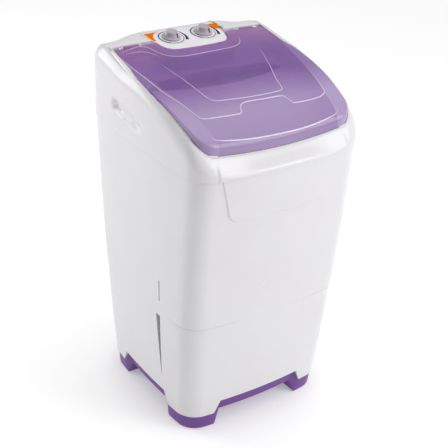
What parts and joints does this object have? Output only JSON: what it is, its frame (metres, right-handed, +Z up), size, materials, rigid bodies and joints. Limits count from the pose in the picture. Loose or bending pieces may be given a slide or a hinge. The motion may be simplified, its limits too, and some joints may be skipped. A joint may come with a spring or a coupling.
{
  "type": "semi-automatic washing machine",
  "caption": "Tall top-loading semi-automatic washing machine with a see-through hinged lid, a knob console, a tub with impeller and belt drive, and footed base.",
  "frame": {"origin": "on the floor under the middle of the overall box", "axes": "+Z up, the front faces -Y, +X is to the right when one stands in front of the machine and looks at it"},
  "size_m": [0.5028, 0.5494, 0.9599],
  "materials": {
    "white_plastic": "glossy white moulded plastic",
    "purple_plastic": "purple moulded plastic",
    "lid_plastic": "see-through purple moulded plastic",
    "panel_plastic": "glossy white panel",
    "knob_plastic": "silver-grey plastic",
    "grey_plastic": "grey plastic",
    "black_plastic": "black plastic",
    "rubber": "black rubber",
    "steel": "bright steel",
    "bronze": "sintered bronze",
    "cast_metal": "cast light metal",
    "stator_iron": "varnished iron core",
    "net_plastic": "fine white net"
  },
  "bodies": {
    "machine": {"base_tray": "purple_plastic", "foot_pads": "rubber", "cabinet": "white_plastic", "base_screws": "steel", "tub": "white_plastic", "tub_gasket": "rubber", "top_cover": "white_plastic", "cover_screws": "steel", "scrub_board": "white_plastic", "hinge_pins": "steel", "control_panel": "panel_plastic", "wash_timer": "grey_plastic", "selector_switch": "black_plastic", "panel_screws": "steel", "bearing_housing": "cast_metal", "lower_bush": "bronze", "upper_bush": "bronze", "shaft_seal": "rubber", "housing_screws": "steel", "drive_belt": "rubber", "motor_stator": "stator_iron", "motor_lower_bell": "cast_metal", "motor_upper_bell": "cast_metal", "motor_bracket": "steel", "motor_grommets": "rubber", "bracket_screws": "steel", "motor_screws": "steel", "capacitor": "grey_plastic", "capacitor_clip": "black_plastic", "drain_pipe": "grey_plastic", "drain_clamp": "steel", "cord_gland": "black_plastic"},
    "lid": {"lid": "lid_plastic"},
    "timer": {"timer_knob": "knob_plastic", "timer_spindle": "steel"},
    "selector": {"selector_knob": "knob_plastic", "selector_spindle": "steel"},
    "impeller_shaft_group": {"impeller": "grey_plastic", "impeller_shaft": "steel", "impeller_screw": "steel", "drive_pulley": "black_plastic", "pulley_nut": "steel"},
    "motor_rotor_group": {"motor_rotor": "steel", "motor_pulley": "cast_metal", "motor_fan": "black_plastic"},
    "lint_filter": {"lint_filter_frame": "grey_plastic", "lint_filter_net": "net_plastic"}
  },
  "joints": [
    {"name": "lid_hinge", "type": "hinge", "parent": "machine", "child": "lid", "pos_m": [0, 0.1641, 0.93013], "axis": [-1, 0, 0], "range_deg": [0, 95]},
    {"name": "timer_turn", "type": "hinge", "parent": "machine", "child": "timer", "pos_m": [-0.048, 0.1767, 0.93449], "axis": [0, 0.1478, -0.989], "range_deg": [0, 330]},
    {"name": "selector_turn", "type": "hinge", "parent": "machine", "child": "selector", "pos_m": [0.048, 0.1767, 0.93449], "axis": [0, 0.1478, -0.989], "range_deg": [0, 120]},
    {"name": "impeller_spin", "type": "hinge", "parent": "machine", "child": "impeller_shaft_group", "pos_m": [0, -0.077, 0.2], "axis": [0, 0, 1], "continuous": true},
    {"name": "motor_spin", "type": "hinge", "parent": "machine", "child": "motor_rotor_group", "pos_m": [0, 0.078, 0.2], "axis": [0, 0, 1], "continuous": true},
    {"name": "filter_lift", "type": "slide", "parent": "machine", "child": "lint_filter", "axis": [0, 0, 1], "range_m": [0, 0.12]}
  ],
  "couplings": [
    {"joint": "motor_spin", "follows": "impeller_spin", "ratio": 4.9891}
  ]
}
